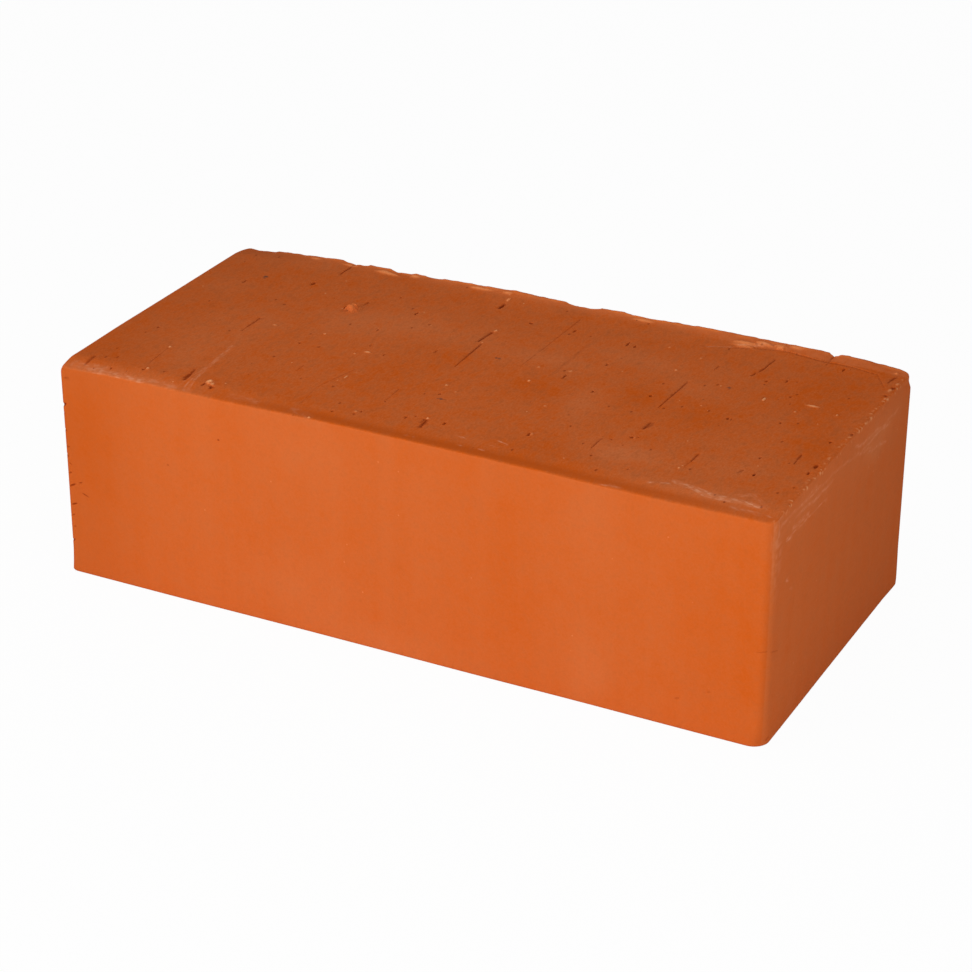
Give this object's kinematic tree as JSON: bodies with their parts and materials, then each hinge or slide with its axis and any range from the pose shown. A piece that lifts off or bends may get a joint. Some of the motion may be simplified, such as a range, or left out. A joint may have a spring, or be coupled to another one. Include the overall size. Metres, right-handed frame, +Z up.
{
  "type": "clay brick",
  "caption": "Solid wire-cut clay brick with flat beds, rounded upright corners and a ragged torn lip along the rear top arris",
  "frame": {"origin": "middle of the bottom bed face, which lies on the floor", "axes": "+X along the length, with the front stretcher face towards -Y and the torn lip at +Y; +Z up, square to the beds"},
  "size_m": [0.21, 0.101, 0.066],
  "materials": {
    "fired_clay": "unglazed matt terracotta, smooth on the die-formed sides and drag-marked on the cut beds"
  },
  "bodies": {
    "root": {"brick": "fired_clay"}
  },
  "joints": []
}
